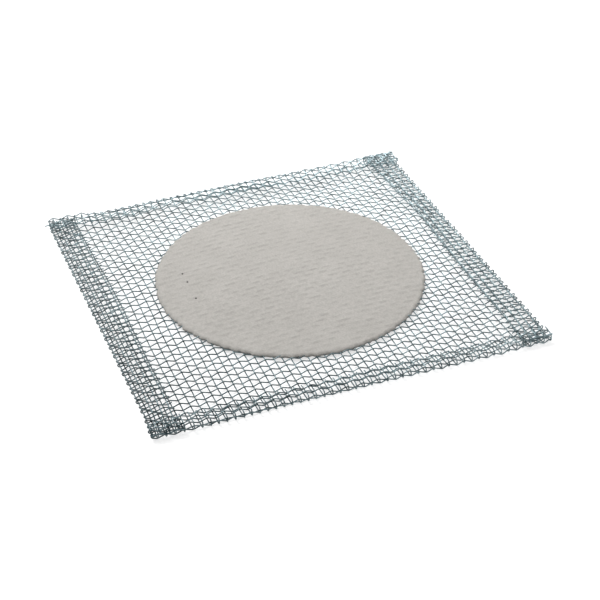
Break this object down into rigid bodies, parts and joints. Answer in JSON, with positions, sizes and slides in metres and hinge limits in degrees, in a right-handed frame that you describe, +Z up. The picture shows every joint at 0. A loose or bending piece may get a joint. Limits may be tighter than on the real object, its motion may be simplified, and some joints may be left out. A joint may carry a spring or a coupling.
{
  "type": "wire gauze",
  "caption": "Square woven wire gauze with folded edges and a round ceramic centre, which spreads a burner's heat under glassware.",
  "frame": {"origin": "on the resting face of the ceramic, under the middle of the gauze", "axes": "+X to the right along the crimped weft wires, +Y to the back along the straight warp wires, +Z up, out of the side that the hems are folded over"},
  "size_m": [0.1512, 0.146, 0.0051],
  "materials": {
    "ceramic": "matte, slightly rough, with faint lines where the mesh lies under it",
    "weft_wire": "dull galvanised",
    "warp_wire": "dull galvanised"
  },
  "bodies": {
    "root": {"ceramic_disc": "ceramic", "weft_strip_01": "weft_wire", "weft_strip_02": "weft_wire", "weft_strip_03": "weft_wire", "weft_strip_04": "weft_wire", "weft_strip_05": "weft_wire", "weft_strip_06": "weft_wire", "weft_strip_07": "weft_wire", "weft_strip_08": "weft_wire", "weft_strip_09": "weft_wire", "weft_strip_10": "weft_wire", "weft_strip_11": "weft_wire", "weft_strip_12": "weft_wire", "weft_strip_13": "weft_wire", "weft_strip_14": "weft_wire", "weft_strip_15": "weft_wire", "weft_strip_16": "weft_wire", "weft_strip_17": "weft_wire", "front_hem_wefts": "weft_wire", "back_hem_wefts": "weft_wire", "warp_strip_01": "warp_wire", "warp_strip_02": "warp_wire", "warp_strip_03": "warp_wire", "warp_strip_04": "warp_wire", "warp_strip_05": "warp_wire", "warp_strip_06": "warp_wire", "warp_strip_07": "warp_wire", "warp_strip_08": "warp_wire", "warp_strip_09": "warp_wire", "warp_strip_10": "warp_wire", "left_hem_warps": "warp_wire", "right_hem_warps": "warp_wire"}
  },
  "joints": []
}
